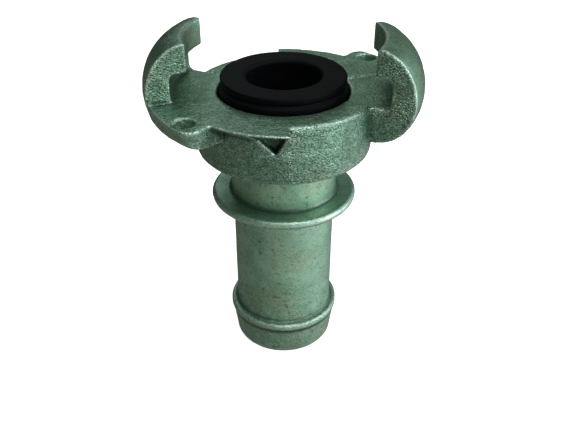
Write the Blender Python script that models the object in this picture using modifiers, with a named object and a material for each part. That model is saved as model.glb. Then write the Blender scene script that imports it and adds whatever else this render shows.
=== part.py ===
"""Two-lug claw coupling half with a swivelling head, a rubber face seal and a collared hose tail.

Frame: origin on the axis at the tail's end, +Z along the axis towards the coupling face,
+X through the middle of the claws' side. The head turns freely about Z on the hose stem.
Polar angles are in degrees from +X. The head repeats itself after half a turn.
"""
import math

import bmesh
import bpy
from mathutils import Matrix

MM = 0.001

# Facets
RING_STEPS = 48
ARC_STEP = 5.0
DOME_STEPS = 10
RIM_STEPS = 8
CORNER_STEPS = 4
O_RING_STEPS = 8
PIN_HOLE_STEPS = 24
MERGE = 0.02 * MM
WELD_MERGE = 0.005 * MM

# Clearances
RUNNING_GAP = 0.3 * MM
SEAL_GAP = 0.4 * MM

# Hose stem, radial
SHANK_RADIUS = 12.5 * MM
TAIL_WALL = 3.7 * MM
COLLAR_STAND = 5.3 * MM
BEAD_STAND = 1.7 * MM
NOSE_STAND = 1.3 * MM
NOSE_TAPER = 0.9 * MM
SPIGOT_WALL = 2.8 * MM
SHOULDER_WIDTH = 1.3 * MM
RING_GROOVE_DEPTH = 1.0 * MM
O_RING_SECTION = 0.65 * MM
O_RING_GAP = 0.25 * MM

# Hose stem, axial
NOSE_LENGTH = 8.6 * MM
BEAD_WIDTH = 1.9 * MM
BEAD_FILLET = 0.8 * MM
SHANK_LENGTH = 32.3 * MM
COLLAR_THICKNESS = 2.2 * MM
NECK_LENGTH = 11.4 * MM
NECK_FILLET = 0.9 * MM
END_ROUND = 1.2 * MM
EDGE_BREAK = 0.35 * MM

# Parts inside the head
RING_REACH = 2.8 * MM
RING_THICKNESS = 1.2 * MM
RING_LAND = 1.8 * MM
RING_OPENING = 24.0
WASHER_THICKNESS = 1.0 * MM
LEDGE_THICKNESS = 4.3 * MM

# Face seal
SEAL_MARGIN = 0.5 * MM
SEAL_BORE_STEP = 0.2 * MM
SEAL_FOOT_REACH = 0.7 * MM
SEAL_FOOT_TOP = 1.9 * MM
SEAL_DEPTH = 4.8 * MM
SEAL_PROUD = 3.2 * MM
SEAL_LIP_HEIGHT = 1.3 * MM
SEAL_LIP_DRAFT = 0.35 * MM
SEAL_WAIST = 0.35 * MM
SEAL_WAIST_STEP = 0.35 * MM
SEAL_DISH = 0.5 * MM

# Head body
DRUM_WALL = 5.2 * MM
DRUM_DRAFT = 1.0 * MM
DRUM_FOOT_ROUND = 0.7 * MM
ROOT_DEPTH = 2.6 * MM
PARTING_BULGE = 0.3 * MM
PARTING_DEPTH = 6.0 * MM
SKIRT_RAISE = 0.35 * MM
SKIRT_STEP = 0.15 * MM
CHANNEL_DROP = 0.3 * MM
CHANNEL_SINK = 0.1 * MM

# Hook lips
LIP_REACH = 4.1 * MM
LIP_EDGE = 0.6 * MM
LIP_ROOT = 3.2 * MM
POCKET_REACH = 8.0 * MM
POCKET_POINT = 1.6 * MM
POCKET_LAP = 1.7 * MM
POCKET_DEPTH = 2.3 * MM
POCKET_MARGIN = 0.3 * MM
UNDERCUT_LAP = 3.0 * MM
UNDERCUT_GAP = 0.1 * MM

# Claws and ears
CLAW_CLEARANCE = 0.3 * MM
SLOT_CLEARANCE = 0.5 * MM
SLOT_HEIGHT = 6.2 * MM
SLOT_ROUND = 1.5 * MM
CLAW_WALL = 5.8 * MM
CLAW_TIP = 6.7 * MM
CLAW_BELLY = 8.9 * MM
CLAW_WIDEST = 1.5 * MM
CROWN_ROUND = 0.4 * MM
EAR_STEP = 0.3 * MM
EAR_EDGE = 2.6 * MM
EAR_ROOT = 5.4 * MM
EAR_CORNER = 3.0 * MM
PIN_HOLE_RADIUS = 2.4 * MM
PIN_HOLE_INSET = 3.3 * MM
CUTTER_MARGIN = 2.0 * MM

# Where the head's features begin and end, in degrees about the axis
CLAW_START, CLAW_END = 151.0, 200.0
EAR_END = 233.0
LIP_END = 273.5
PIN_HOLE_ANGLE = 222.6
POCKET_ANGLE = 270.0
SKIRT_START, SKIRT_END = 226.0, 311.0
CHANNEL_OVERRUN = 0.5
JOINT_OVERLAP = 4.0
HALF_TURNS = (0.0, 180.0)

# Radii that follow
BORE_RADIUS = SHANK_RADIUS - TAIL_WALL
SPIGOT_RADIUS = BORE_RADIUS + SPIGOT_WALL
NECK_RADIUS = SPIGOT_RADIUS + SHOULDER_WIDTH
COLLAR_RADIUS = SHANK_RADIUS + COLLAR_STAND
BEAD_RADIUS = SHANK_RADIUS + BEAD_STAND
NOSE_RADIUS = SHANK_RADIUS + NOSE_STAND
HEAD_BORE_RADIUS = SPIGOT_RADIUS + RUNNING_GAP
RING_FLOOR_RADIUS = SPIGOT_RADIUS - RING_GROOVE_DEPTH
RING_RADIUS = SPIGOT_RADIUS + RING_REACH
O_RING_FLOOR_RADIUS = HEAD_BORE_RADIUS - 2 * (O_RING_SECTION + O_RING_GAP)
SEAL_RADIUS = RING_RADIUS + SEAL_MARGIN
MOUTH_RADIUS = SEAL_RADIUS + SEAL_GAP
SEAL_BORE_RADIUS = BORE_RADIUS - SEAL_BORE_STEP
SEAL_FOOT_RADIUS = MOUTH_RADIUS + SEAL_FOOT_REACH
GROOVE_RADIUS = SEAL_FOOT_RADIUS + RUNNING_GAP
DRUM_RADIUS = GROOVE_RADIUS + DRUM_WALL
ROOT_RADIUS = DRUM_RADIUS - ROOT_DEPTH
CLAW_FACE_RADIUS = DRUM_RADIUS + PARTING_BULGE + CLAW_CLEARANCE
LIP_RADIUS = DRUM_RADIUS + LIP_REACH
SLOT_RADIUS = LIP_RADIUS + SLOT_CLEARANCE
CLAW_RADIUS = SLOT_RADIUS + CLAW_WALL
EAR_RADIUS = CLAW_RADIUS - EAR_STEP

# Heights that follow, from the tail's end upwards
BEAD_Z = NOSE_LENGTH
SHANK_Z = BEAD_Z + BEAD_WIDTH
COLLAR_Z = SHANK_Z + SHANK_LENGTH
NECK_Z = COLLAR_Z + COLLAR_THICKNESS
SHOULDER_Z = NECK_Z + NECK_LENGTH
HEAD_Z = SHOULDER_Z + RUNNING_GAP
LEDGE_Z = HEAD_Z + LEDGE_THICKNESS
WASHER_Z = LEDGE_Z + RUNNING_GAP
RING_Z = WASHER_Z + WASHER_THICKNESS + RUNNING_GAP
SPIGOT_Z = RING_Z + RING_THICKNESS + RUNNING_GAP + RING_LAND
SEAL_Z = SPIGOT_Z + RUNNING_GAP
FACE_Z = SEAL_Z + SEAL_DEPTH
PARTING_Z = FACE_Z - PARTING_DEPTH
O_RING_Z = HEAD_Z + LEDGE_THICKNESS / 2


def polar(radius, degrees, z=0.0):
    """Point at a radius and a polar angle about the axis."""
    angle = math.radians(degrees)
    return (radius * math.cos(angle), radius * math.sin(angle), z)


def arc(centre, radii, start, end, steps):
    """Points of an elliptical arc in its own plane, both ends included."""
    points = []
    for index in range(steps + 1):
        angle = math.radians(start + (end - start) * index / steps)
        points.append((centre[0] + radii[0] * math.cos(angle), centre[1] + radii[1] * math.sin(angle)))
    return points


def new_collection(name):
    collection = bpy.data.collections.new(name)
    bpy.context.scene.collection.children.link(collection)
    return collection


def new_material(name, colour, roughness, metallic):
    material = bpy.data.materials.new(name)
    material.use_nodes = True
    shader = material.node_tree.nodes["Principled BSDF"]
    shader.inputs["Base Color"].default_value = (*colour, 1.0)
    shader.inputs["Roughness"].default_value = roughness
    shader.inputs["Metallic"].default_value = metallic
    material.diffuse_color = (*colour, 1.0)
    return material


def object_from_bmesh(name, bm, collection):
    """Turn a bmesh into a linked object with its faces pointing out."""
    if bm.faces:
        bmesh.ops.recalc_face_normals(bm, faces=bm.faces[:])
    mesh = bpy.data.meshes.new(name)
    bm.to_mesh(mesh)
    bm.free()
    obj = bpy.data.objects.new(name, mesh)
    collection.objects.link(obj)
    return obj


def turned(name, profile, collection):
    """Turn a closed (radius, z) profile, listed down its outer side first, into a full ring."""
    bm = bmesh.new()
    verts = [bm.verts.new((radius, 0.0, z)) for radius, z in profile]
    for index, vert in enumerate(verts):
        bm.edges.new((vert, verts[(index + 1) % len(verts)]))
    obj = object_from_bmesh(name, bm, collection)
    screw = obj.modifiers.new("Turn", "SCREW")
    screw.axis = "Z"
    screw.steps = RING_STEPS
    screw.render_steps = RING_STEPS
    screw.use_merge_vertices = True
    screw.merge_threshold = MERGE
    return obj


def sector(name, profile, start, end, collection):
    """Sweep a closed (radius, z) profile about the axis from one polar angle to another."""
    bm = bmesh.new()
    face = bm.faces.new([bm.verts.new(polar(radius, start, z)) for radius, z in profile])
    geometry = [face, *face.edges, *face.verts]
    steps = max(2, round((end - start) / ARC_STEP))
    sweep = math.radians(end - start)
    bmesh.ops.spin(bm, geom=geometry, axis=(0, 0, 1), cent=(0, 0, 0), angle=sweep, steps=steps)
    return object_from_bmesh(name, bm, collection)


def prism(name, outline, bottom, top, collection):
    """Extrude a flat (x, y) outline between two heights."""
    bm = bmesh.new()
    face = bm.faces.new([bm.verts.new((x, y, bottom)) for x, y in outline])
    raised = bmesh.ops.extrude_face_region(bm, geom=[face])["geom"]
    verts = [item for item in raised if isinstance(item, bmesh.types.BMVert)]
    bmesh.ops.translate(bm, verts=verts, vec=(0, 0, top - bottom))
    return object_from_bmesh(name, bm, collection)


def hide_tool(obj):
    obj.hide_render = True
    obj.display_type = "WIRE"


def combine(target, tool, operation):
    """Join, cut or intersect the target with a tool solid."""
    modifier = target.modifiers.new(tool.name, "BOOLEAN")
    modifier.operation = operation
    modifier.solver = "EXACT"
    modifier.object = tool
    hide_tool(tool)


def finish(obj, material):
    obj.data.materials.append(material)
    obj.data.shade_smooth()
    smooth = obj.modifiers.new("Weighted normals", "WEIGHTED_NORMAL")
    smooth.keep_sharp = True


def make_hose_stem(parts, material):
    """Tail, collar, neck and the spigot that the head turns on, turned in one piece."""
    half_rim = COLLAR_THICKNESS / 2
    rim_centre = (COLLAR_RADIUS - half_rim, COLLAR_Z + half_rim)
    collar_rim = arc(rim_centre, (half_rim, half_rim), 90, -90, RIM_STEPS)
    neck_centre = (NECK_RADIUS + NECK_FILLET, NECK_Z + NECK_FILLET)
    neck_foot = arc(neck_centre, (NECK_FILLET, NECK_FILLET), 180, 270, CORNER_STEPS)
    bead_centre = (SHANK_RADIUS + BEAD_FILLET, SHANK_Z + BEAD_FILLET)
    bead_foot = arc(bead_centre, (BEAD_FILLET, BEAD_FILLET), 180, 270, CORNER_STEPS)
    crest_centre = (BEAD_RADIUS - EDGE_BREAK, SHANK_Z - EDGE_BREAK)
    bead_crest = arc(crest_centre, (EDGE_BREAK, EDGE_BREAK), 90, 0, CORNER_STEPS)
    end_centre = (NOSE_RADIUS - NOSE_TAPER - END_ROUND, END_ROUND)
    nose_end = arc(end_centre, (END_ROUND, END_ROUND), 0, -90, CORNER_STEPS)
    ring_top = RING_Z + RING_THICKNESS + RUNNING_GAP
    ring_bottom = RING_Z - RUNNING_GAP
    o_ring_half = O_RING_SECTION + O_RING_GAP
    profile = [
        (BORE_RADIUS + EDGE_BREAK, SPIGOT_Z),
        (SPIGOT_RADIUS - EDGE_BREAK, SPIGOT_Z),
        (SPIGOT_RADIUS, SPIGOT_Z - EDGE_BREAK),
        (SPIGOT_RADIUS, ring_top),
        (RING_FLOOR_RADIUS, ring_top),
        (RING_FLOOR_RADIUS, ring_bottom),
        (SPIGOT_RADIUS, ring_bottom),
        (SPIGOT_RADIUS, O_RING_Z + o_ring_half),
        (O_RING_FLOOR_RADIUS, O_RING_Z + o_ring_half),
        (O_RING_FLOOR_RADIUS, O_RING_Z - o_ring_half),
        (SPIGOT_RADIUS, O_RING_Z - o_ring_half),
        (SPIGOT_RADIUS, SHOULDER_Z),
        (NECK_RADIUS - EDGE_BREAK, SHOULDER_Z),
        (NECK_RADIUS, SHOULDER_Z - EDGE_BREAK),
        *neck_foot,
        *collar_rim,
        (SHANK_RADIUS, COLLAR_Z),
        *bead_foot,
        *bead_crest,
        (BEAD_RADIUS, BEAD_Z + EDGE_BREAK),
        (NOSE_RADIUS, BEAD_Z - EDGE_BREAK),
        *nose_end,
        (BORE_RADIUS + EDGE_BREAK, 0.0),
        (BORE_RADIUS, EDGE_BREAK),
        (BORE_RADIUS, SPIGOT_Z - EDGE_BREAK),
    ]
    stem = turned("hose_stem", profile, parts)
    finish(stem, material)
    return stem


def make_drum(parts):
    """The head's round body, with its bore, inner ledge, cavity and seal groove."""
    groove_top = FACE_Z - SEAL_FOOT_TOP + RUNNING_GAP
    foot_centre = (DRUM_RADIUS - DRUM_DRAFT - DRUM_FOOT_ROUND, HEAD_Z + DRUM_FOOT_ROUND)
    foot_round = arc(foot_centre, (DRUM_FOOT_ROUND, DRUM_FOOT_ROUND), 0, -90, CORNER_STEPS)
    profile = [
        (MOUTH_RADIUS + EDGE_BREAK, FACE_Z),
        (DRUM_RADIUS - EDGE_BREAK, FACE_Z),
        (DRUM_RADIUS, FACE_Z - EDGE_BREAK),
        (DRUM_RADIUS + PARTING_BULGE, PARTING_Z),
        *foot_round,
        (HEAD_BORE_RADIUS, HEAD_Z),
        (HEAD_BORE_RADIUS, LEDGE_Z),
        (MOUTH_RADIUS, LEDGE_Z),
        (MOUTH_RADIUS, SEAL_Z - RUNNING_GAP),
        (GROOVE_RADIUS, SEAL_Z - RUNNING_GAP),
        (GROOVE_RADIUS, groove_top),
        (MOUTH_RADIUS, groove_top),
        (MOUTH_RADIUS, FACE_Z - EDGE_BREAK),
    ]
    return turned("claw_head", profile, parts)


def claw_profile():
    """Section of a claw: a domed outer side, an inner tip face and the slot for the other half's lip."""
    middle_z = FACE_Z + CLAW_WIDEST
    crown_z = FACE_Z + SLOT_HEIGHT + CLAW_TIP
    dome_radii = (CLAW_RADIUS - CLAW_FACE_RADIUS, crown_z - middle_z)
    belly_radii = (CLAW_RADIUS - CLAW_FACE_RADIUS, CLAW_WIDEST + CLAW_BELLY)
    crown_start = math.degrees(math.acos(CROWN_ROUND / dome_radii[0]))
    slot_corner = SLOT_RADIUS - SLOT_ROUND
    slot_top = FACE_Z + SLOT_HEIGHT
    floor = FACE_Z - CHANNEL_DROP
    return [
        (CLAW_FACE_RADIUS, crown_z - CROWN_ROUND),
        *arc((CLAW_FACE_RADIUS, middle_z), dome_radii, crown_start, 0, DOME_STEPS),
        *arc((CLAW_FACE_RADIUS, middle_z), belly_radii, 0, -90, DOME_STEPS)[1:],
        (ROOT_RADIUS, FACE_Z - CLAW_BELLY),
        (ROOT_RADIUS, floor),
        *arc((slot_corner, floor + SLOT_ROUND), (SLOT_ROUND, SLOT_ROUND), -90, 0, CORNER_STEPS),
        *arc((slot_corner, slot_top - SLOT_ROUND), (SLOT_ROUND, SLOT_ROUND), 0, 90, CORNER_STEPS),
        (CLAW_FACE_RADIUS + EDGE_BREAK, slot_top),
        (CLAW_FACE_RADIUS, slot_top + EDGE_BREAK),
    ]


def lip_profile():
    """Section of a hook lip: a thin edge that thickens towards the drum."""
    return [
        (ROOT_RADIUS, FACE_Z),
        (LIP_RADIUS, FACE_Z),
        (LIP_RADIUS, FACE_Z - LIP_EDGE),
        (DRUM_RADIUS, FACE_Z - LIP_ROOT),
        (ROOT_RADIUS, FACE_Z - LIP_ROOT),
    ]


def ear_profile():
    """Section of an ear: flat on top, with a rounded underside that grows towards the drum."""
    underside_radii = (EAR_RADIUS - DRUM_RADIUS, EAR_ROOT - EAR_EDGE)
    underside = arc((DRUM_RADIUS, FACE_Z - EAR_EDGE), underside_radii, 0, -90, RIM_STEPS)
    return [
        (ROOT_RADIUS, FACE_Z),
        (EAR_RADIUS - EDGE_BREAK, FACE_Z),
        (EAR_RADIUS, FACE_Z - EDGE_BREAK),
        *underside,
        (ROOT_RADIUS, FACE_Z - EAR_ROOT),
    ]


def ear_outline(turn):
    """Plan of an ear, from inside the claw to its free side, with the outer corner rounded."""
    side = EAR_END + turn
    first = CLAW_END - 2 * JOINT_OVERLAP + turn
    corner_radius = EAR_RADIUS - EAR_CORNER
    last = side - math.degrees(math.asin(EAR_CORNER / corner_radius))
    centre = polar(corner_radius, last)
    reach = EAR_RADIUS + CUTTER_MARGIN
    rim = arc((0, 0), (reach, reach), first, last, DOME_STEPS)
    corner = arc(centre, (EAR_CORNER, EAR_CORNER), last, side + 90, RIM_STEPS)
    return [polar(ROOT_RADIUS, first)[:2], *rim, *corner, polar(ROOT_RADIUS, side)[:2]]


def make_ear(turn, tools):
    start, end = CLAW_END - JOINT_OVERLAP + turn, EAR_END + JOINT_OVERLAP + turn
    ear = sector(f"ear_{turn:.0f}", ear_profile(), start, end, tools)
    bottom, top = FACE_Z - EAR_ROOT - CUTTER_MARGIN, FACE_Z + CUTTER_MARGIN
    plan = prism(f"ear_plan_{turn:.0f}", ear_outline(turn), bottom, top, tools)
    combine(ear, plan, "INTERSECT")
    return ear


def skirt_profile():
    """Section of the raised skirt below the parting line."""
    raised = DRUM_RADIUS + SKIRT_RAISE
    return [
        (ROOT_RADIUS, PARTING_Z - SKIRT_STEP),
        (raised, PARTING_Z - SKIRT_STEP),
        (raised + PARTING_BULGE, PARTING_Z - SKIRT_STEP - EDGE_BREAK),
        (raised - DRUM_DRAFT, HEAD_Z + DRUM_FOOT_ROUND),
        (raised - DRUM_DRAFT - EDGE_BREAK, HEAD_Z + EDGE_BREAK),
        (ROOT_RADIUS, HEAD_Z + EDGE_BREAK),
    ]


def channel_profile():
    """Section of the shallow channel that lowers the face in front of each claw."""
    inner = SEAL_BORE_RADIUS
    outer = SLOT_RADIUS - 2 * SLOT_ROUND
    floor = FACE_Z - CHANNEL_DROP - CHANNEL_SINK
    top = FACE_Z + CUTTER_MARGIN
    return [(inner, floor), (outer, floor), (outer, top), (inner, top)]


def make_pin_hole(turn, tools):
    """Cutter for the lock-pin hole in an ear."""
    bm = bmesh.new()
    place = Matrix.Translation(polar(EAR_RADIUS - PIN_HOLE_INSET, PIN_HOLE_ANGLE + turn, FACE_Z))
    bmesh.ops.create_cone(
        bm, cap_ends=True, segments=PIN_HOLE_STEPS, radius1=PIN_HOLE_RADIUS, radius2=PIN_HOLE_RADIUS,
        depth=2 * (EAR_ROOT + CUTTER_MARGIN), matrix=place)
    return object_from_bmesh(f"pin_hole_{turn:.0f}", bm, tools)


def turned_outward(cutter, turn):
    """Stand a cutter drawn flat on edge, so that its depth runs outward at a pocket."""
    stand = Matrix.Rotation(math.radians(90), 4, "X")
    aim = Matrix.Rotation(math.radians(POCKET_ANGLE + 90 + turn), 4, "Z")
    cutter.data.transform(aim @ stand)
    return cutter


def make_pocket(turn, tools):
    """Cutter for the three-sided pocket under the open end of a hook lip."""
    top = FACE_Z - LIP_EDGE - POCKET_MARGIN
    point = PARTING_Z + POCKET_MARGIN
    inner = DRUM_RADIUS - POCKET_DEPTH
    outline = [(-POCKET_REACH, top), (POCKET_LAP, top), (-POCKET_POINT, point)]
    return turned_outward(prism(f"pocket_{turn:.0f}", outline, inner, CLAW_RADIUS, tools), turn)


def make_undercut(turn, tools):
    """Cutter that frees the open end of a hook lip from the drum's side."""
    top = FACE_Z - LIP_EDGE - POCKET_MARGIN
    bottom = PARTING_Z + POCKET_MARGIN
    inner = DRUM_RADIUS + PARTING_BULGE + UNDERCUT_GAP
    left, right = -POCKET_POINT, UNDERCUT_LAP
    outline = [(left, top), (right, top), (right, bottom), (left, bottom)]
    return turned_outward(prism(f"undercut_{turn:.0f}", outline, inner, CLAW_RADIUS, tools), turn)


def make_claw_head(parts, tools, material):
    """The cast head: drum, two claws, two ears, two hook lips and their cuts."""
    head = make_drum(parts)
    for turn in HALF_TURNS:
        tag = f"{turn:.0f}"
        skirt = sector(f"skirt_{tag}", skirt_profile(), SKIRT_START + turn, SKIRT_END + turn, tools)
        lip = sector(f"lip_{tag}", lip_profile(), EAR_END - JOINT_OVERLAP + turn, LIP_END + turn, tools)
        claw = sector(f"claw_{tag}", claw_profile(), CLAW_START + turn, CLAW_END + turn, tools)
        for blank in (skirt, lip, make_ear(turn, tools), claw):
            combine(head, blank, "UNION")
    for turn in HALF_TURNS:
        start, end = CLAW_START - CHANNEL_OVERRUN + turn, CLAW_END + CHANNEL_OVERRUN + turn
        channel = sector(f"channel_{turn:.0f}", channel_profile(), start, end, tools)
        for cutter in (channel, make_pocket(turn, tools), make_undercut(turn, tools), make_pin_hole(turn, tools)):
            combine(head, cutter, "DIFFERENCE")
    weld = head.modifiers.new("Close slivers", "WELD")
    weld.merge_threshold = WELD_MERGE
    finish(head, material)
    return head


def make_face_seal(parts, material):
    """Rubber ring held by its foot in the head's groove, with a soft lip proud of the face."""
    top = FACE_Z + SEAL_PROUD
    lip_radius = SEAL_RADIUS - SEAL_LIP_DRAFT
    waist_radius = lip_radius - SEAL_WAIST
    lip_bottom = top - SEAL_LIP_HEIGHT
    waist_bottom = lip_bottom - 2 * SEAL_WAIST_STEP
    bottom = SEAL_Z
    foot_top = FACE_Z - SEAL_FOOT_TOP
    profile = [
        (SEAL_BORE_RADIUS + SEAL_DISH, top - SEAL_DISH),
        (SEAL_BORE_RADIUS + 2 * SEAL_DISH, top),
        (lip_radius - EDGE_BREAK, top),
        (lip_radius, top - EDGE_BREAK),
        (lip_radius, lip_bottom),
        (waist_radius, lip_bottom - SEAL_WAIST_STEP),
        (waist_radius, waist_bottom),
        (SEAL_RADIUS, waist_bottom - SEAL_WAIST_STEP),
        (SEAL_RADIUS, foot_top),
        (SEAL_FOOT_RADIUS, foot_top - EDGE_BREAK),
        (SEAL_FOOT_RADIUS, bottom + EDGE_BREAK),
        (SEAL_FOOT_RADIUS - EDGE_BREAK, bottom),
        (SEAL_BORE_RADIUS + EDGE_BREAK, bottom),
        (SEAL_BORE_RADIUS, bottom + EDGE_BREAK),
        (SEAL_BORE_RADIUS, top - 2 * SEAL_DISH),
    ]
    seal = turned("face_seal", profile, parts)
    finish(seal, material)
    return seal


def make_o_ring(parts, material):
    """Round-section ring in the spigot's lower groove."""
    bpy.ops.mesh.primitive_torus_add(
        major_radius=O_RING_FLOOR_RADIUS + O_RING_GAP + O_RING_SECTION, minor_radius=O_RING_SECTION,
        major_segments=RING_STEPS, minor_segments=O_RING_STEPS, location=(0, 0, O_RING_Z))
    ring = bpy.context.object
    ring.name = ring.data.name = "stem_o_ring"
    for collection in ring.users_collection:
        collection.objects.unlink(ring)
    parts.objects.link(ring)
    finish(ring, material)
    return ring


def make_thrust_washer(parts, material):
    """Flat washer between the head's ledge and the retaining ring."""
    inner = HEAD_BORE_RADIUS
    top = WASHER_Z + WASHER_THICKNESS
    profile = [(inner, top), (RING_RADIUS, top), (RING_RADIUS, WASHER_Z), (inner, WASHER_Z)]
    washer = turned("thrust_washer", profile, parts)
    finish(washer, material)
    return washer


def make_retaining_ring(parts, material):
    """Open snap ring that sits in the spigot's upper groove."""
    inner = RING_FLOOR_RADIUS + RUNNING_GAP
    top = RING_Z + RING_THICKNESS
    profile = [(inner, RING_Z), (RING_RADIUS, RING_Z), (RING_RADIUS, top), (inner, top)]
    start = RING_OPENING / 2
    ring = sector("retaining_ring", profile, start, 360 - start, parts)
    finish(ring, material)
    return ring


def main():
    for obj in list(bpy.data.objects):
        bpy.data.objects.remove(obj, do_unlink=True)
    parts = new_collection("claw_coupling")
    tools = new_collection("cutters")

    cast_zinc = new_material("cast_zinc", (0.42, 0.49, 0.45), 0.5, 0.8)
    turned_zinc = new_material("turned_zinc", (0.45, 0.54, 0.50), 0.38, 0.85)
    black_rubber = new_material("black_rubber", (0.02, 0.018, 0.02), 0.7, 0.0)
    o_ring_rubber = new_material("o_ring_rubber", (0.015, 0.015, 0.015), 0.55, 0.0)
    spring_steel = new_material("spring_steel", (0.35, 0.35, 0.37), 0.35, 1.0)
    brass = new_material("washer_brass", (0.72, 0.55, 0.27), 0.35, 1.0)

    stem_axis = bpy.data.objects.new("stem_axis", None)
    head_axis = bpy.data.objects.new("head_axis", None)
    parts.objects.link(stem_axis)
    parts.objects.link(head_axis)
    head_axis.parent = stem_axis

    for obj in (make_claw_head(parts, tools, cast_zinc), make_face_seal(parts, black_rubber)):
        obj.parent = head_axis
    for obj in (
        make_hose_stem(parts, turned_zinc),
        make_o_ring(parts, o_ring_rubber),
        make_thrust_washer(parts, brass),
        make_retaining_ring(parts, spring_steel),
    ):
        obj.parent = stem_axis


main()
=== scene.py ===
"""Looks of the claw coupling: a rough cast head, a plated hose tail and a rubber face seal.

Every visible piece is made fresh at high resolution in the place of its CAD node, rides on that
node's body and keeps its sizes. Lengths are in metres and polar angles in degrees from +X.
"""
import math

import bmesh
import bpy
import numpy as np
from mathutils import Matrix, Vector, noise


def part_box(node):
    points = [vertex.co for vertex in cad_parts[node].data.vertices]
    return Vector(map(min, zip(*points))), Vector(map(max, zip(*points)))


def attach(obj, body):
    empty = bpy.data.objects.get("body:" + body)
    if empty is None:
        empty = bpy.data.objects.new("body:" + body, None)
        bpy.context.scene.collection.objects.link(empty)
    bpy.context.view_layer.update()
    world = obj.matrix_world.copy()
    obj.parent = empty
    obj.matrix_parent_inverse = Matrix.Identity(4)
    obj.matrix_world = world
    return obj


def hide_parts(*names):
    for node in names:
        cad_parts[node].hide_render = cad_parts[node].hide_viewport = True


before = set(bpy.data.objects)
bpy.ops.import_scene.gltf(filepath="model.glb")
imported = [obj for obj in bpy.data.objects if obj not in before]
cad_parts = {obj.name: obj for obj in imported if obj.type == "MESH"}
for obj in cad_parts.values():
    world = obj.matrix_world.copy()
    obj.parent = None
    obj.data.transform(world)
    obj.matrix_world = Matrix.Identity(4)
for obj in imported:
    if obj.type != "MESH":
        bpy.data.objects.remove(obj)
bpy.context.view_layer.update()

MM = 0.001
HALF_TURNS = (0.0, 180.0)

# Fineness
VOXEL = 0.34 * MM
LATHE_STEPS = 180
LATHE_STRIDE = 0.45 * MM
DEGREES_A_STEP = 1.5
DOME_STEPS = 24
RIM_STEPS = 16
END_STEPS = 12
DISH_STEPS = 10
CORNER_STEPS = 6
PIN_HOLE_STEPS = 48
MERGE = MM / 1000

# Heights that the frame gives, and what follows from them
STEM_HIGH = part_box("hose_stem")[1]
HEAD_LOW, HEAD_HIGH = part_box("claw_head")
SEAL_LOW, SEAL_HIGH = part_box("face_seal")
SEAL_PROUD = 3.2 * MM
PARTING_DEPTH = 6.0 * MM
FACE_Z = SEAL_HIGH.z - SEAL_PROUD
HEAD_Z = HEAD_LOW.z
PARTING_Z = FACE_Z - PARTING_DEPTH

# Head, radial
BORE_RADIUS = 8.8 * MM
HEAD_BORE_RADIUS = 11.9 * MM
MOUTH_RADIUS = 15.3 * MM
GROOVE_RADIUS = 16.3 * MM
ROOT_RADIUS = 18.9 * MM
DRUM_RADIUS = 21.5 * MM
DRUM_DRAFT = 0.8 * MM
PARTING_BULGE = 0.15 * MM
SKIRT_RAISE = 0.2 * MM
CLAW_FACE_RADIUS = 22.1 * MM
LIP_RADIUS = 25.6 * MM
SLOT_RADIUS = 26.1 * MM
CLAW_RADIUS = HEAD_HIGH.x
EAR_STEP = 0.3 * MM
EAR_RADIUS = CLAW_RADIUS - EAR_STEP

# Head, axial
RUNNING_GAP = 0.3 * MM
LEDGE_THICKNESS = 4.3 * MM
FOOT_ROUND = 0.7 * MM
EDGE_BREAK = 0.35 * MM
SKIRT_STEP = 0.15 * MM
LIP_EDGE = 0.35 * MM
LIP_ROOT = 3.2 * MM
SLOT_HEIGHT = 6.2 * MM
SLOT_ROUND = 1.2 * MM
CLAW_BELLY = 8.9 * MM
CLAW_WIDEST = 1.5 * MM
CROWN_ROUND = 0.4 * MM
EAR_EDGE = 2.6 * MM
EAR_ROOT = 5.4 * MM
EAR_CORNER = 3.0 * MM
EAR_DRAFT = 0.4 * MM
CHANNEL_DROP = 0.4 * MM
PIN_HOLE_RADIUS = 2.4 * MM
PIN_HOLE_INSET = 3.3 * MM
POCKET_REACH = 8.0 * MM
POCKET_POINT = 1.6 * MM
POCKET_LAP = 1.7 * MM
POCKET_DEPTH = 2.3 * MM
POCKET_MARGIN = 0.3 * MM
UNDERCUT_LAP = 3.0 * MM
CUTTER_MARGIN = 2.0 * MM

# Where the head's features begin and end
CLAW_START, CLAW_END = 151.0, 200.0
EAR_END = 233.0
LIP_END = 273.5
PIN_HOLE_ANGLE = 222.6
POCKET_ANGLE = 270.0
SKIRT_START, SKIRT_END = 226.0, 311.0
CHANNEL_OVERRUN = 0.5
OVERLAP = 4.0

# Hose tail, radial
SPIGOT_RADIUS = 11.6 * MM
NECK_RADIUS = 12.9 * MM
COLLAR_RADIUS = 17.8 * MM
SHANK_RADIUS = 12.5 * MM
BEAD_RADIUS = 14.2 * MM
NOSE_RADIUS = 13.8 * MM
NOSE_END_RADIUS = 12.9 * MM

# Hose tail, axial
SHOULDER_Z = 56.4 * MM
NECK_Z = 45.0 * MM
COLLAR_Z = 42.8 * MM
SHANK_Z = 10.5 * MM
BEAD_Z = 8.6 * MM

# Hose tail, round edges
NECK_FILLET = 0.9 * MM
COLLAR_RIM = 1.1 * MM
COLLAR_FILLET = 0.3 * MM
BEAD_FILLET = 0.8 * MM
BEAD_CREST = 0.7 * MM
BEAD_EDGE = 0.5 * MM
NOSE_FILLET = 0.3 * MM
NOSE_DROP = 0.6 * MM
END_ROUND = 1.2 * MM

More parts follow.
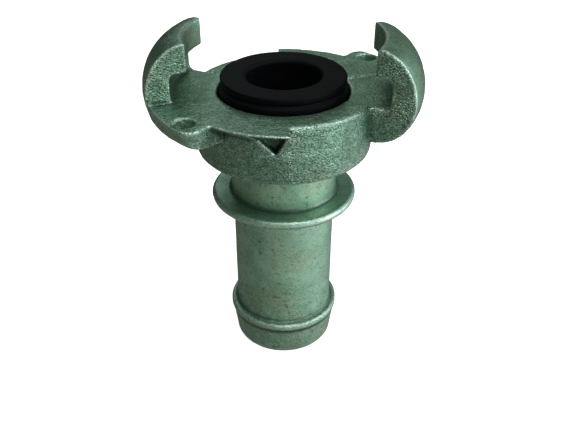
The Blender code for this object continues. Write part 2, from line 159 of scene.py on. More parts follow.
# Face seal
SEAL_BORE_RADIUS = 8.6 * MM
SEAL_RADIUS = 14.9 * MM
SEAL_FOOT_RADIUS = 16.0 * MM
SEAL_FOOT_TOP = 1.9 * MM
SEAL_LIP_RADIUS = SEAL_RADIUS - 0.35 * MM
SEAL_WAIST_RADIUS = SEAL_RADIUS - 0.7 * MM
SEAL_LIP_HEIGHT = 1.3 * MM
SEAL_LIP_EDGE = 0.15 * MM
SEAL_LIP_ROUND = 0.4 * MM
SEAL_WAIST_DROP = 0.5 * MM
SEAL_WAIST_ROUND = 0.3 * MM
SEAL_SIDE_DROP = 1.3 * MM
SEAL_SIDE_ROUND = 0.25 * MM
SEAL_DISH = 1.0 * MM

# Softening of the casting's edges, and the reliefs at which an edge is painted bright, partly as wear
# and partly as painted highlight, and a crease or hollow is painted dark as painted shade
SOFTEN_ROUNDS = 3
SOFTEN_THICK, SOFTEN_THIN = 0.5, 0.25
RELIEF_WEIGHT = 0.6
EDGE_ROUNDS, HOLLOW_ROUNDS = 6, 70
BRIGHT_EDGE_RELIEF = 0.06 * MM
CREASED = 0.16 * MM
HOLLOW = 0.55 * MM

# Zinc plating: the width of its marks
CLOUDS = 5 * MM
TARNISH = 9 * MM
PATCHES = 2.2 * MM
PITS = 1.5 * MM
SCUFFS = 0.9 * MM
SAND = 0.5 * MM
DUST = 0.25 * MM

# What the metal reflects of the room, and what shows behind the floor
ROOM_LEFT = (0.11, 0.12, 0.09, 1)
ROOM_MIDDLE = (0.66, 0.68, 0.62, 1)
ROOM_RIGHT = (1.20, 1.31, 1.34, 1)
ROOM_BEHIND = (0.04, 0.04, 0.035, 1)
CEILING_LEFT = (0.05, 0.055, 0.05, 1)
CEILING_RIGHT = (0.30, 0.33, 0.36, 1)
CEILING_DIM = (0.04, 0.045, 0.04, 1)
SKYLIGHT = (1.1, 1.2, 1.2, 1)
WINDOW_BACK = (0.95, 1.07, 1.15, 1)
WINDOW_RIGHT = (1.4, 1.6, 1.85, 1)
BACK_WALL = (0.26, 0.32, 0.23, 1)
UNDERFOOT = (0.015, 0.015, 0.015, 1)
BACKDROP = (1, 1, 1, 1)

# Lamps: name, place, width, height and watts; all aim at one point
LAMP_TARGET = (0, 0, 0.06)
LAMPS = (
    ("top_front", (0.10, -0.26, 0.56), 0.10, 0.10, 0.8),
    ("key_right", (0.45, -0.10, 0.20), 0.25, 0.35, 0.7),
)

# Camera
CAMERA_TILT = 33
CAMERA_BACK = 150.96 * MM
CAMERA_UP = 63.59 * MM
CAMERA_LENS = 44.57
CAMERA_SHIFT = -0.00035


def polar(radius, degrees, z=0.0):
    angle = math.radians(degrees)
    return (radius * math.cos(angle), radius * math.sin(angle), z)


def arc(centre, radii, start, end, steps):
    """Points of an elliptical arc in its own plane, both ends included."""
    points = []
    for index in range(steps + 1):
        angle = math.radians(start + (end - start) * index / steps)
        points.append((centre[0] + radii[0] * math.cos(angle), centre[1] + radii[1] * math.sin(angle)))
    return points


def corner(centre, radius, start, end, steps=CORNER_STEPS):
    """A round corner's points."""
    return arc(centre, (radius, radius), start, end, steps)


def linked(name, bm):
    """Turn a bmesh into a linked object with its faces pointing out."""
    bmesh.ops.recalc_face_normals(bm, faces=bm.faces[:])
    mesh = bpy.data.meshes.new(name)
    bm.to_mesh(mesh)
    bm.free()
    obj = bpy.data.objects.new(name, mesh)
    bpy.context.scene.collection.objects.link(obj)
    return obj


def sector(name, profile, start, end):
    """Sweep a closed (radius, z) profile about the axis from one polar angle to another."""
    bm = bmesh.new()
    face = bm.faces.new([bm.verts.new(polar(radius, start, z)) for radius, z in profile])
    geometry = [face, *face.edges, *face.verts]
    steps = max(4, round((end - start) / DEGREES_A_STEP))
    sweep = math.radians(end - start)
    bmesh.ops.spin(bm, geom=geometry, axis=(0, 0, 1), cent=(0, 0, 0), angle=sweep, steps=steps)
    return linked(name, bm)


def turned(name, profile):
    """Turn a closed (radius, z) profile into a full ring."""
    bm = bmesh.new()
    verts = [bm.verts.new(polar(radius, 0, z)) for radius, z in profile]
    edges = [bm.edges.new((vert, verts[(index + 1) % len(verts)])) for index, vert in enumerate(verts)]
    bmesh.ops.spin(
        bm, geom=edges + verts, axis=(0, 0, 1), cent=(0, 0, 0), angle=math.radians(360),
        steps=LATHE_STEPS, use_merge=True)
    bmesh.ops.remove_doubles(bm, verts=bm.verts[:], dist=MERGE)
    return linked(name, bm)


def finely_turned(name, profile):
    """Turn a profile whose long straight stretches are first cut into short ones."""
    points = []
    for index, (radius, z) in enumerate(profile):
        points.append((radius, z))
        next_radius, next_z = profile[(index + 1) % len(profile)]
        pieces = int(math.hypot(next_radius - radius, next_z - z) / LATHE_STRIDE)
        for piece in range(1, pieces):
            share = piece / pieces
            points.append((radius + (next_radius - radius) * share, z + (next_z - z) * share))
    return turned(name, points)


def prism(name, outline, bottom, top):
    """Extrude a flat (x, y) outline between two heights."""
    bm = bmesh.new()
    face = bm.faces.new([bm.verts.new((x, y, bottom)) for x, y in outline])
    raised = bmesh.ops.extrude_face_region(bm, geom=[face])["geom"]
    verts = [item for item in raised if isinstance(item, bmesh.types.BMVert)]
    bmesh.ops.translate(bm, verts=verts, vec=(0, 0, top - bottom))
    return linked(name, bm)


def apply_modifiers(obj):
    """Replace an object's mesh by what its modifiers make of it."""
    depsgraph = bpy.context.evaluated_depsgraph_get()
    depsgraph.update()
    mesh = bpy.data.meshes.new_from_object(obj.evaluated_get(depsgraph))
    obj.modifiers.clear()
    obj.data = mesh


def combine(target, tool, operation):
    """Cut or intersect the target with a tool solid."""
    modifier = target.modifiers.new(tool.name, "BOOLEAN")
    modifier.operation = operation
    modifier.solver = "EXACT"
    modifier.object = tool


def drum_profile():
    """Section of the head's round body, with its bore, ledge, cavity and seal groove."""
    foot = (DRUM_RADIUS - DRUM_DRAFT - FOOT_ROUND, HEAD_Z + FOOT_ROUND)
    ledge = HEAD_Z + LEDGE_THICKNESS
    groove_top = FACE_Z - SEAL_FOOT_TOP + RUNNING_GAP
    groove_bottom = SEAL_LOW.z - RUNNING_GAP
    return [
        (MOUTH_RADIUS + EDGE_BREAK, FACE_Z),
        (DRUM_RADIUS - EDGE_BREAK, FACE_Z),
        (DRUM_RADIUS, FACE_Z - EDGE_BREAK),
        (DRUM_RADIUS + PARTING_BULGE, PARTING_Z),
        *corner(foot, FOOT_ROUND, 0, -90),
        (HEAD_BORE_RADIUS, HEAD_Z),
        (HEAD_BORE_RADIUS, ledge),
        (MOUTH_RADIUS, ledge),
        (MOUTH_RADIUS, groove_bottom),
        (GROOVE_RADIUS, groove_bottom),
        (GROOVE_RADIUS, groove_top),
        (MOUTH_RADIUS, groove_top),
        (MOUTH_RADIUS, FACE_Z - EDGE_BREAK),
    ]


def claw_profile():
    """Section of a claw: a domed outer side, an inner face and the slot for the other half's lip."""
    middle_z = FACE_Z + CLAW_WIDEST
    dome = (CLAW_RADIUS - CLAW_FACE_RADIUS, HEAD_HIGH.z - middle_z)
    belly = (CLAW_RADIUS - CLAW_FACE_RADIUS, CLAW_WIDEST + CLAW_BELLY)
    crown_start = math.degrees(math.acos(CROWN_ROUND / dome[0]))
    slot_corner = SLOT_RADIUS - SLOT_ROUND
    slot_top = FACE_Z + SLOT_HEIGHT
    floor = FACE_Z - CHANNEL_DROP
    return [
        (CLAW_FACE_RADIUS, HEAD_HIGH.z - CROWN_ROUND),
        *arc((CLAW_FACE_RADIUS, middle_z), dome, crown_start, 0, DOME_STEPS),
        *arc((CLAW_FACE_RADIUS, middle_z), belly, 0, -90, DOME_STEPS)[1:],
        (ROOT_RADIUS, FACE_Z - CLAW_BELLY),
        (ROOT_RADIUS, floor),
        *corner((slot_corner, floor + SLOT_ROUND), SLOT_ROUND, -90, 0),
        *corner((slot_corner, slot_top - SLOT_ROUND), SLOT_ROUND, 0, 90),
        (CLAW_FACE_RADIUS + EDGE_BREAK, slot_top),
        (CLAW_FACE_RADIUS, slot_top + EDGE_BREAK),
    ]


def lip_profile():
    """Section of a hook lip: a thin edge that thickens towards the drum."""
    return [
        (ROOT_RADIUS, FACE_Z),
        (LIP_RADIUS, FACE_Z),
        (LIP_RADIUS, FACE_Z - LIP_EDGE),
        (DRUM_RADIUS, FACE_Z - LIP_ROOT),
        (ROOT_RADIUS, FACE_Z - LIP_ROOT),
    ]


def ear_profile():
    """Section of an ear: flat on top, with a rounded underside that grows towards the drum."""
    reach = EAR_RADIUS - EAR_DRAFT - DRUM_RADIUS
    underside_centre = (DRUM_RADIUS, FACE_Z - EAR_EDGE)
    return [
        (ROOT_RADIUS, FACE_Z),
        (EAR_RADIUS - EDGE_BREAK, FACE_Z),
        (EAR_RADIUS, FACE_Z - EDGE_BREAK),
        *arc(underside_centre, (reach, EAR_ROOT - EAR_EDGE), 0, -90, RIM_STEPS),
        (ROOT_RADIUS, FACE_Z - EAR_ROOT),
    ]


def ear_outline(turn):
    """Plan of an ear, from inside the claw to its free side, with the outer corner rounded."""
    side = EAR_END + turn
    first = CLAW_END - 2 * OVERLAP + turn
    corner_radius = EAR_RADIUS - EAR_CORNER
    last = side - math.degrees(math.asin(EAR_CORNER / corner_radius))
    rim = corner((0, 0), EAR_RADIUS + CUTTER_MARGIN, first, last, DOME_STEPS)
    round_corner = corner(polar(corner_radius, last), EAR_CORNER, last, side + 90, RIM_STEPS)
    return [polar(ROOT_RADIUS, first)[:2], *rim, *round_corner, polar(ROOT_RADIUS, side)[:2]]


def skirt_profile():
    """Section of the raised skirt below the parting line."""
    raised = DRUM_RADIUS + SKIRT_RAISE
    top = PARTING_Z - SKIRT_STEP
    return [
        (ROOT_RADIUS, top),
        (raised, top),
        (raised + PARTING_BULGE, top - EDGE_BREAK),
        (raised - DRUM_DRAFT, HEAD_Z + FOOT_ROUND),
        (raised - DRUM_DRAFT - EDGE_BREAK, HEAD_Z + EDGE_BREAK),
        (ROOT_RADIUS, HEAD_Z + EDGE_BREAK),
    ]


def make_channel(turn):
    """Cutter for the shallow channel in front of a claw."""
    floor, top = FACE_Z - CHANNEL_DROP, FACE_Z + CUTTER_MARGIN
    inner, outer = BORE_RADIUS, SLOT_RADIUS - 2 * SLOT_ROUND
    profile = [(inner, floor), (outer, floor), (outer, top), (inner, top)]
    start, end = CLAW_START - CHANNEL_OVERRUN + turn, CLAW_END + CHANNEL_OVERRUN + turn
    return sector(f"channel_{turn:.0f}", profile, start, end)


def make_pin_hole(turn):
    """Cutter for the lock-pin hole in an ear."""
    bm = bmesh.new()
    place = Matrix.Translation(polar(EAR_RADIUS - PIN_HOLE_INSET, PIN_HOLE_ANGLE + turn, FACE_Z))
    bmesh.ops.create_cone(
        bm, cap_ends=True, segments=PIN_HOLE_STEPS, radius1=PIN_HOLE_RADIUS, radius2=PIN_HOLE_RADIUS,
        depth=2 * (EAR_ROOT + CUTTER_MARGIN), matrix=place)
    return linked(f"pin_hole_{turn:.0f}", bm)


def make_pocket(turn):
    """Cutters for the pocket under a lip and for the free space under the lip's open end."""
    tag = f"{turn:.0f}"
    high, low = FACE_Z - LIP_EDGE - POCKET_MARGIN, PARTING_Z - POCKET_MARGIN
    left, right = -POCKET_POINT, UNDERCUT_LAP
    pocket_outline = [(-POCKET_REACH, high), (POCKET_LAP, high), (left, low)]
    undercut_outline = [(left, high), (right, high), (right, low), (left, low)]
    pocket = prism(f"pocket_{tag}", pocket_outline, DRUM_RADIUS - POCKET_DEPTH, CLAW_RADIUS)
    undercut = prism(f"undercut_{tag}", undercut_outline, DRUM_RADIUS + PARTING_BULGE, CLAW_RADIUS)
    stand = Matrix.Rotation(math.radians(90), 4, "X")
    aim = Matrix.Rotation(math.radians(POCKET_ANGLE + 90 + turn), 4, "Z")
    for cutter in (pocket, undercut):
        cutter.data.transform(aim @ stand)
    return [pocket, undercut]


def make_ear(turn):
    """An ear, and the plan that it is trimmed to, which tapers downwards as the ear does."""
    ear = sector(f"ear_{turn:.0f}", ear_profile(), CLAW_END - OVERLAP + turn, EAR_END + OVERLAP + turn)
    plan = prism(f"plan_{turn:.0f}", ear_outline(turn), FACE_Z - CLAW_BELLY, FACE_Z + CUTTER_MARGIN)
    for vert in plan.data.vertices:
        vert.co.xy *= 1 + EAR_DRAFT / EAR_RADIUS * (vert.co.z - FACE_Z) / EAR_EDGE
    combine(ear, plan, "INTERSECT")
    return ear, plan


def make_head_blanks():
    """Drum, skirts, lips, claws and ears as closed solids that overlap, with every cut made."""
    blanks = [turned("cast_head", drum_profile())]
    plans, cutters = [], []
    for turn in HALF_TURNS:
        tag = f"{turn:.0f}"
        blanks.append(sector(f"skirt_{tag}", skirt_profile(), SKIRT_START + turn, SKIRT_END + turn))
        blanks.append(sector(f"lip_{tag}", lip_profile(), EAR_END - OVERLAP + turn, LIP_END + turn))
        blanks.append(sector(f"claw_{tag}", claw_profile(), CLAW_START + turn, CLAW_END + turn))
        ear, plan = make_ear(turn)
        blanks.append(ear)
        plans.append(plan)
        cutters += [make_channel(turn), make_pin_hole(turn), *make_pocket(turn)]
    for blank in blanks:
        for cutter in cutters:
            combine(blank, cutter, "DIFFERENCE")
    for blank in blanks:
        apply_modifiers(blank)
    for tool in plans + cutters:
        bpy.data.objects.remove(tool)
    return blanks


def mesh_arrays(mesh):
    """Places, normals and edge ends of a mesh as arrays."""
    count = len(mesh.vertices)
    places, normals = np.empty(count * 3), np.empty(count * 3)
    ends = np.empty(len(mesh.edges) * 2, np.int64)
    mesh.vertices.foreach_get("co", places)
    mesh.vertices.foreach_get("normal", normals)
    mesh.edges.foreach_get("vertices", ends)
    return places.reshape(-1, 3), normals.reshape(-1, 3), ends.reshape(-1, 2)


def softened(places, ends, rounds, weight):
    """Places after each has moved, round by round, part of the way to its neighbours' middle."""
    places = places.copy()
    first, second = ends.T
    count = len(places)
    degree = np.bincount(ends.ravel(), minlength=count)
    for _ in range(rounds):
        for axis in range(3):
            column = places[:, axis].copy()
            total = np.bincount(first, column[second], count) + np.bincount(second, column[first], count)
            places[:, axis] += weight * (total / degree - column)
    return places


def relief(mesh, rounds):
    """How far each point stands proud of the surface around it, over a width that grows with rounds."""
    places, normals, ends = mesh_arrays(mesh)
    return ((places - softened(places, ends, rounds, RELIEF_WEIGHT)) * normals).sum(1)


def noise_field(places, size):
    """Smooth noise, about -1 to 1, whose lumps are about as wide as size."""
    increment, lacunarity, octaves = 0.9, 2.0, 2
    return np.array(
        [noise.fractal(Vector(place) / size, increment, lacunarity, octaves) for place in places])


def store(mesh, name, values):
    """Keep one number a point for the materials to read."""
    attribute = mesh.attributes.new(name, "FLOAT", "POINT")
    attribute.data.foreach_set("value", values.astype(np.float32))


def smoothstep(low, high, values):
    t = np.clip((values - low) / (high - low), 0, 1)
    return t * t * (3 - 2 * t)


def soften_edges(mesh):
    """Soften the casting's edges, and those of the thin lips and ears by less."""
    places, _, ends = mesh_arrays(mesh)
    reach = np.hypot(places[:, 0], places[:, 1])
    thin = (reach > DRUM_RADIUS) & (places[:, 2] < FACE_Z + MM) & (places[:, 2] > FACE_Z - LIP_ROOT)
    weight = np.where(thin, SOFTEN_THIN, SOFTEN_THICK)
    mesh.vertices.foreach_set("co", softened(places, ends, SOFTEN_ROUNDS, weight).ravel())
    mesh.update()


def store_relief(mesh):
    """Store edges painted bright, 0 to 1, partly wear and partly painted highlight, and creases and
    hollows painted dark, 0 to 1, as painted shade.
    """
    fine, broad = relief(mesh, EDGE_ROUNDS), relief(mesh, HOLLOW_ROUNDS)
    store(mesh, "wear_and_highlight", np.clip(fine / BRIGHT_EDGE_RELIEF, 0, 1))
    store(mesh, "painted_shade", np.clip(np.maximum(-fine / CREASED, -broad / HOLLOW), 0, 1))


def cast_grain(places, normals):
    """How coarse the casting's skin is, 0 to 1: most on the claws' ends and none in the bore."""
    reach = np.hypot(places[:, 0], places[:, 1])
    outward = places[:, :2] / np.maximum(reach, MM)[:, None]
    radial = (normals[:, :2] * outward).sum(1)
    tangential = np.abs(normals[:, 1] * outward[:, 0] - normals[:, 0] * outward[:, 1])
    level = np.abs(normals[:, 2])
    claw_ends = smoothstep(0.6, 0.9, tangential) * smoothstep(20.5 * MM, 22.5 * MM, reach)
    side = smoothstep(0.5, 0.9, radial) * (1 - smoothstep(23 * MM, 24.5 * MM, reach))
    flat = smoothstep(0.8, 0.97, level) * smoothstep(15.5 * MM, 18 * MM, reach)
    outside = smoothstep(14.6 * MM, 15.4 * MM, reach)
    return outside * np.clip(0.35 + claw_ends + 0.5 * side + 0.3 * flat, 0, 1)


def make_cast_head():
    """The blanks joined through a voxel grid as one soft-edged casting with a lumpy skin."""
    blanks = make_head_blanks()
    bm = bmesh.new()
    for blank in blanks:
        bm.from_mesh(blank.data)
        bpy.data.objects.remove(blank)
    head = linked("cast_head", bm)
    remesh = head.modifiers.new("Voxels", "REMESH")
    remesh.mode = "VOXEL"
    remesh.voxel_size = VOXEL
    apply_modifiers(head)
    soften_edges(head.data)
    store_relief(head.data)

    places, normals, _ = mesh_arrays(head.data)
    grain = cast_grain(places, normals)
    lumps = 0.05 * MM * noise_field(places, 2.6 * MM) + 0.05 * MM * grain * noise_field(places, 1.1 * MM)
    places += normals * (lumps - 0.04 * MM)[:, None]
    head.data.vertices.foreach_set("co", places.ravel())
    store(head.data, "grain", grain)
    head.data.shade_smooth()
    return head


def tail_profile():
    """Section of the tail: spigot, shoulder, neck, collar, shank, bead, nose and bore."""
    top = STEM_HIGH.z
    return [
        (BORE_RADIUS + EDGE_BREAK, top),
        *corner((SPIGOT_RADIUS - EDGE_BREAK, top - EDGE_BREAK), EDGE_BREAK, 90, 0),
        (SPIGOT_RADIUS, SHOULDER_Z),
        *corner((NECK_RADIUS - EDGE_BREAK, SHOULDER_Z - EDGE_BREAK), EDGE_BREAK, 90, 0),
        *corner((NECK_RADIUS + NECK_FILLET, NECK_Z + NECK_FILLET), NECK_FILLET, 180, 270),
        *corner((COLLAR_RADIUS - COLLAR_RIM, COLLAR_Z + COLLAR_RIM), COLLAR_RIM, 90, -90, RIM_STEPS),
        *corner((SHANK_RADIUS + COLLAR_FILLET, COLLAR_Z - COLLAR_FILLET), COLLAR_FILLET, 90, 180),
        *corner((SHANK_RADIUS + BEAD_FILLET, SHANK_Z + BEAD_FILLET), BEAD_FILLET, 180, 270),
        *corner((BEAD_RADIUS - BEAD_CREST, SHANK_Z - BEAD_CREST), BEAD_CREST, 90, 0),
        *corner((BEAD_RADIUS - BEAD_EDGE, BEAD_Z + BEAD_EDGE), BEAD_EDGE, 0, -45),
        *corner((NOSE_RADIUS + NOSE_FILLET, BEAD_Z - NOSE_DROP), NOSE_FILLET, 120, 180),
        *corner((NOSE_END_RADIUS - END_ROUND, END_ROUND), END_ROUND, 0, -90, END_STEPS),
        *corner((BORE_RADIUS + EDGE_BREAK, EDGE_BREAK), EDGE_BREAK, -90, -180),
        (BORE_RADIUS, top - EDGE_BREAK),
    ]


def crease_shade(reach, heights):
    """Painted shade where two of the tail's surfaces meet."""
    creases = (
        (SHANK_RADIUS, SHANK_Z),
        (NOSE_RADIUS, BEAD_Z - NOSE_FILLET),
        (NECK_RADIUS, NECK_Z),
        (SHANK_RADIUS, COLLAR_Z),
    )
    painted_shade = np.zeros(len(reach))
    for radius, z in creases:
        distance = np.hypot(reach - radius, heights - z)
        painted_shade = np.maximum(painted_shade, 0.7 - 0.7 * smoothstep(0.4 * MM, 1.3 * MM, distance))
    return painted_shade


def make_hose_tail():
    """The turned hose tail with a slightly wavy plated skin."""
    tail = finely_turned("hose_tail", tail_profile())
    places, normals, _ = mesh_arrays(tail.data)
    reach = np.hypot(places[:, 0], places[:, 1])
    outside = smoothstep(12.0 * MM, 12.4 * MM, reach)
    waves = 0.045 * MM * noise_field(places, 5.0 * MM) + 0.018 * MM * noise_field(places, 1.3 * MM)
    places += normals * (outside * (waves - 0.03 * MM))[:, None]
    places[:, 2] = np.maximum(places[:, 2], 0)
    # Convex edges painted bright, partly wear and partly painted highlight
    store(tail.data, "wear_and_highlight", np.clip(relief(tail.data, EDGE_ROUNDS) / BRIGHT_EDGE_RELIEF, 0, 1))
    tail.data.vertices.foreach_set("co", places.ravel())
    low = 1 - smoothstep(11 * MM, 24 * MM, places[:, 2])
    store(tail.data, "grain", 0.28 + 0.25 * low)
    # Painted shade in the creases where the tail's surfaces meet
    store(tail.data, "painted_shade", crease_shade(reach, places[:, 2]))
    tail.data.shade_smooth()
    return tail


def seal_profile():
    """Section of the face seal: foot in the groove, waisted side, flat top and a rounded bore edge."""
    top, bottom = SEAL_HIGH.z, SEAL_LOW.z
    lip_low = top - SEAL_LIP_HEIGHT
    waist_centre = (SEAL_WAIST_RADIUS + SEAL_WAIST_ROUND, lip_low - SEAL_WAIST_DROP)
    side_centre = (SEAL_RADIUS - SEAL_SIDE_ROUND, lip_low - SEAL_SIDE_DROP)
    foot_top = FACE_Z - SEAL_FOOT_TOP
    foot_edge = SEAL_FOOT_RADIUS - EDGE_BREAK
    return [
        *corner((SEAL_BORE_RADIUS + SEAL_DISH, top - SEAL_DISH), SEAL_DISH, 180, 90, DISH_STEPS),
        *corner((SEAL_LIP_RADIUS - SEAL_LIP_ROUND, top - SEAL_LIP_ROUND), SEAL_LIP_ROUND, 90, 0),
        (SEAL_LIP_RADIUS, lip_low + SEAL_LIP_EDGE),
        *corner(waist_centre, SEAL_WAIST_ROUND, 120, 240),
        *corner(side_centre, SEAL_SIDE_ROUND, 70, 0),
        (SEAL_RADIUS, foot_top),
        *corner((foot_edge, foot_top - EDGE_BREAK), EDGE_BREAK, 90, 0),
        *corner((foot_edge, bottom + EDGE_BREAK), EDGE_BREAK, 0, -90),
        *corner((SEAL_BORE_RADIUS + EDGE_BREAK, bottom + EDGE_BREAK), EDGE_BREAK, -90, -180),
    ]


def make_sealing_ring():
    """The rubber face seal, very slightly uneven."""
    ring = finely_turned("sealing_ring", seal_profile())
    places, normals, _ = mesh_arrays(ring.data)
    waves = 0.03 * MM * noise_field(places, 4.0 * MM)
    places += normals * (waves - 0.02 * MM)[:, None]
    ring.data.vertices.foreach_set("co", places.ravel())
    ring.data.shade_smooth()
    return ring


class Graph:
    """Short ways to add and link the nodes of a material or of the world."""

    def __init__(self, owner, space):
        owner.use_nodes = True
        self.tree = owner.node_tree
        self.place = self.tree.nodes.new("ShaderNodeTexCoord").outputs[space]

    def link(self, value, socket):
        if isinstance(value, bpy.types.NodeSocket):
            self.tree.links.new(value, socket)
        else:
            socket.default_value = value

    def noise(self, size, detail=3.0, roughness=0.55, stretch=(1, 1, 1)):
        """Noise, 0 to 1, whose lumps are about as wide as size."""
        mapping = self.tree.nodes.new("ShaderNodeMapping")
        mapping.inputs["Scale"].default_value = stretch
        self.link(self.place, mapping.inputs["Vector"])
        node = self.tree.nodes.new("ShaderNodeTexNoise")
        node.inputs["Scale"].default_value = 1 / size
        node.inputs["Detail"].default_value = detail
        node.inputs["Roughness"].default_value = roughness
        self.link(mapping.outputs["Vector"], node.inputs["Vector"])
        return node.outputs["Fac"]

    def ramp(self, value, low, high):
        """Map low to high evenly onto 0 to 1."""
        node = self.tree.nodes.new("ShaderNodeMapRange")
        node.inputs["From Min"].default_value = low
        node.inputs["From Max"].default_value = high
        self.link(value, node.inputs["Value"])
        return node.outputs["Result"]

    def band(self, value, low, high, to_low=0.0, to_high=1.0):
        """Map low to high smoothly onto to_low to to_high."""
        result = self.ramp(value, low, high)
        result.node.interpolation_type = "SMOOTHSTEP"
        result.node.inputs["To Min"].default_value = to_low
        result.node.inputs["To Max"].default_value = to_high
        return result

    def add(self, first, second):
        return self.calculate("ADD", first, second)

    def times(self, first, second):
        return self.calculate("MULTIPLY", first, second)

    def calculate(self, operation, first, second):
        node = self.tree.nodes.new("ShaderNodeMath")
        node.operation = operation
        self.link(first, node.inputs[0])
        self.link(second, node.inputs[1])
        return node.outputs[0]

    def mix(self, share, first, second):
        """Go from the first colour to the second as share goes from 0 to 1."""
        node = self.tree.nodes.new("ShaderNodeMix")
        node.data_type = "RGBA"
        self.link(share, node.inputs["Factor"])
        self.link(first, node.inputs["A"])
        self.link(second, node.inputs["B"])
        return node.outputs["Result"]

    def attribute(self, name):
        node = self.tree.nodes.new("ShaderNodeAttribute")
        node.attribute_name = name
        return node.outputs["Fac"]

    def bump(self, height, distance, strength, under=None):
        node = self.tree.nodes.new("ShaderNodeBump")
        node.inputs["Distance"].default_value = distance
        self.link(strength, node.inputs["Strength"])
        self.link(height, node.inputs["Height"])
        if under is not None:
            self.link(under, node.inputs["Normal"])
        return node.outputs["Normal"]


def new_material(name):
    """A material, the graph of its nodes and the inputs of its shader."""
    material = bpy.data.materials.new(name)
    g = Graph(material, "Object")
    return material, g, g.tree.nodes["Principled BSDF"].inputs


def make_zinc(name, light, dark, stain_and_shade, hollow_shade, pitting, smooth):
    """Zinc plating over iron: cloudy green-grey, with painted shade in the grain's hollows and in
    creases, painted glints on the grain's crests, and edges painted bright, partly as wear and partly as
    painted highlight.
    """
    material, g, shader = new_material(name)
    bright, tarnished = (0.70, 0.80, 0.74, 1), (0.42, 0.44, 0.27, 1)
    grain = g.attribute("grain")
    # Edges painted bright, partly wear and partly painted highlight; creases and hollows painted dark as
    # painted shade
    wear_and_highlight = g.band(g.attribute("wear_and_highlight"), 0.35, 1.0, 0.0, 0.4)
    painted_shade = g.band(g.attribute("painted_shade"), 0.1, 0.9, 0.0, 0.85)
    clouds = g.band(g.noise(CLOUDS, 5, 0.6), 0.35, 0.65)
    tarnish = g.band(g.noise(TARNISH, 3, 0.6), 0.48, 0.68, 0.0, 0.35)
    patches = g.band(g.noise(PATCHES, 4, 0.65, (1, 1, 1.7)), 0.38, 0.62)
    spots = g.band(g.noise(PITS, 5, 0.75), 0.56, 0.66)
    scuffs = g.band(g.noise(SCUFFS, 3, 0.6), 0.35, 0.6)
    sand = g.noise(SAND, 2, 0.6, (1, 1, 1.9))
    hollows = g.band(sand, 0.34, 0.56, 1.0, 0.0)
    crests = g.band(sand, 0.52, 0.68)

    colour = g.mix(clouds, light, dark)
    colour = g.mix(tarnish, colour, tarnished)
    # Painted shade in the grain's hollows, and painted glints on its crests
    colour = g.mix(g.times(hollows, g.times(grain, hollow_shade)), colour, stain_and_shade)
    colour = g.mix(g.times(crests, g.times(grain, 0.3)), colour, bright)
    colour = g.mix(g.times(patches, g.times(grain, 0.4)), colour, stain_and_shade)
    colour = g.mix(g.times(spots, pitting), colour, stain_and_shade)
    # Worn edges with painted highlight, then painted shade in creases and hollows
    colour = g.mix(g.times(wear_and_highlight, scuffs), colour, bright)
    colour = g.mix(painted_shade, colour, stain_and_shade)
    rough = g.add(g.band(clouds, 0, 1, smooth, smooth + 0.07), g.times(hollows, 0.12))
    coarse = g.bump(sand, 0.5 * MM, grain)
    dust = g.bump(g.noise(DUST, 3, 0.65), 0.05 * MM, 0.6, coarse)

    g.link(colour, shader["Base Color"])
    g.link(rough, shader["Roughness"])
    g.link(dust, shader["Normal"])
    shader["Metallic"].default_value = 0.92
    shader["Coat Weight"].default_value = 0.3
    shader["Coat Roughness"].default_value = 0.25
    return material


def make_rubber():
    """Near-black rubber, greyer where dust has settled."""
    material, g, shader = new_material("seal_rubber")
    black, dusty = (0.0016, 0.0018, 0.0024, 1), (0.005, 0.005, 0.0065, 1)
    dust = g.band(g.noise(2.5 * MM, 5, 0.65), 0.5, 0.75)
    g.link(g.mix(g.times(dust, 0.5), black, dusty), shader["Base Color"])
    g.link(g.band(dust, 0, 1, 0.55, 0.7), shader["Roughness"])
    g.link(g.bump(g.noise(0.35 * MM), 0.03 * MM, 0.6), shader["Normal"])
    shader["Specular IOR Level"].default_value = 0.07
    return material


def make_plain_metal(name, colour, roughness):
    """Small bright metal with fine scratches round its axis."""
    material, g, shader = new_material(name)
    scratches = g.noise(1.2 * MM, 3, 0.6, (1, 1, 12))
    darker = tuple(0.8 * channel for channel in colour)
    g.link(g.mix(scratches, (*colour, 1), (*darker, 1)), shader["Base Color"])
    g.link(g.band(scratches, 0.3, 0.7, roughness, roughness + 0.12), shader["Roughness"])
    shader["Metallic"].default_value = 1.0
    return material


def paint(obj, material):
    obj.data.materials.clear()
    obj.data.materials.append(material)


def make_floor():
    """A pale floor that glows a little and that the metal doesn't reflect."""
    bm = bmesh.new()
    bmesh.ops.create_grid(bm, x_segments=1, y_segments=1, size=3.0)
    floor = linked("studio_floor", bm)
    material, g, shader = new_material("pale_floor")
    g.link(g.mix(g.noise(0.05, 2), (0.86, 0.86, 0.86, 1), (0.9, 0.9, 0.9, 1)), shader["Base Color"])
    shader["Roughness"].default_value = 0.9
    shader["Emission Color"].default_value = (1, 1, 1, 1)
    shader["Emission Strength"].default_value = 0.85
    paint(floor, material)
    floor.visible_glossy = False


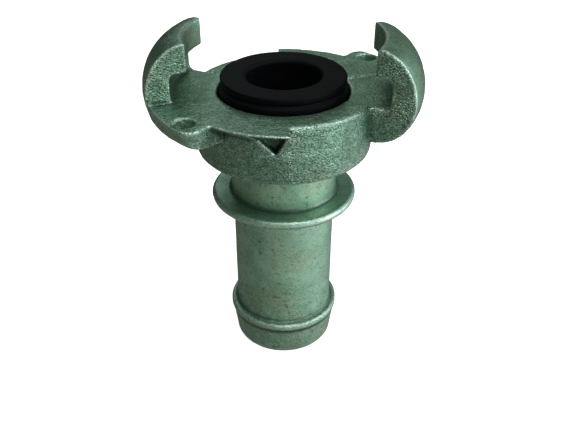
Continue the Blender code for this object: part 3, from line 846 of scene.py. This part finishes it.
def make_world():
    """White for the camera; for what the metal reflects, a room that is brightest on its right.

    The mixes work on the direction of a ray: across is -1 to 1 from left to right, away from front
    to back, and up from below to above.
    """
    world = bpy.data.worlds.new("studio")
    bpy.context.scene.world = world
    g = Graph(world, "Generated")
    split = g.tree.nodes.new("ShaderNodeSeparateXYZ")
    g.link(g.place, split.inputs["Vector"])
    across, away, up = split.outputs

    level = g.mix(g.ramp(across, -1, 0.1), ROOM_LEFT, ROOM_MIDDLE)
    level = g.mix(g.ramp(across, 0, 0.9), level, ROOM_RIGHT)
    level = g.mix(g.ramp(away, 0.2, 0.85), level, ROOM_BEHIND)

    window = g.mix(g.ramp(across, -0.32, -0.16), CEILING_DIM, WINDOW_BACK)
    window = g.mix(g.ramp(across, -0.1, 0.06), window, CEILING_DIM)
    wall = g.mix(g.ramp(across, -0.3, -0.1), CEILING_DIM, BACK_WALL)
    behind = g.mix(g.ramp(up, 0.34, 0.42), wall, window)

    overhead = g.mix(g.ramp(across, -1, 1), CEILING_LEFT, CEILING_RIGHT)
    overhead = g.mix(g.ramp(across, 0.4, 0.8), overhead, WINDOW_RIGHT)
    overhead = g.mix(g.ramp(away, 0.1, 0.75), overhead, behind)

    room = g.mix(g.ramp(up, -1.05, -0.35), UNDERFOOT, level)
    room = g.mix(g.ramp(up, -0.1, 0.35), room, overhead)
    room = g.mix(g.ramp(up, 0.75, 0.95), room, SKYLIGHT)
    path = g.tree.nodes.new("ShaderNodeLightPath")
    shown = g.mix(path.outputs["Is Camera Ray"], room, BACKDROP)
    g.link(shown, g.tree.nodes["Background"].inputs["Color"])


def make_lamps():
    for name, place, width, height, watts in LAMPS:
        data = bpy.data.lights.new(name, "AREA")
        data.shape = "RECTANGLE"
        data.size, data.size_y = width, height
        data.energy = watts
        lamp = bpy.data.objects.new(name, data)
        bpy.context.scene.collection.objects.link(lamp)
        lamp.location = place
        lamp.rotation_euler = (Vector(LAMP_TARGET) - Vector(place)).to_track_quat("-Z", "Y").to_euler()


def make_camera():
    """The viewpoint: 33 degrees above the face, about 177 mm from the object's middle."""
    data = bpy.data.cameras.new("camera")
    data.lens = CAMERA_LENS
    data.sensor_width = 36.0
    data.shift_x = CAMERA_SHIFT
    data.clip_start = 0.01
    camera = bpy.data.objects.new("camera", data)
    bpy.context.scene.collection.objects.link(camera)
    camera.location = (0, -CAMERA_BACK, FACE_Z + CAMERA_UP)
    camera.rotation_euler = (math.radians(90 - CAMERA_TILT), 0, 0)
    bpy.context.scene.camera = camera


def make_pieces():
    """Make each visible piece, in the place of its CAD node and on that node's body."""
    # The stain colour also serves as the painted shade of hollows and creases; the hollow weight sets
    # how dark the grain's hollows are painted
    zinc_cast = make_zinc(
        "zinc_cast", light=(0.31, 0.54, 0.37, 1), dark=(0.21, 0.38, 0.25, 1),
        stain_and_shade=(0.025, 0.05, 0.032, 1), hollow_shade=0.85, pitting=0.45, smooth=0.25)
    zinc_smooth = make_zinc(
        "zinc_smooth", light=(0.36, 0.58, 0.42, 1), dark=(0.27, 0.46, 0.32, 1),
        stain_and_shade=(0.05, 0.08, 0.055, 1), hollow_shade=0.9, pitting=0.6, smooth=0.34)
    rubber = make_rubber()
    pieces = (
        (make_cast_head(), zinc_cast, "head", "claw_head", "cast_zinc"),
        (make_sealing_ring(), rubber, "head", "face_seal", "black_rubber"),
        (make_hose_tail(), zinc_smooth, "stem", "hose_stem", "turned_zinc"),
    )
    for piece, material, body, node, slot in pieces:
        paint(piece, material)
        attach(piece, body)
        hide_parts(node)

    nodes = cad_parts
    paint(nodes["stem_o_ring"], rubber)
    paint(nodes["thrust_washer"], make_plain_metal("washer_brass", (0.72, 0.52, 0.25), 0.32))
    paint(nodes["retaining_ring"], make_plain_metal("ring_steel", (0.36, 0.36, 0.38), 0.3))


def main():
    make_pieces()
    make_floor()
    make_world()
    make_lamps()
    make_camera()
    bpy.context.scene.view_settings.view_transform = "Standard"


main()
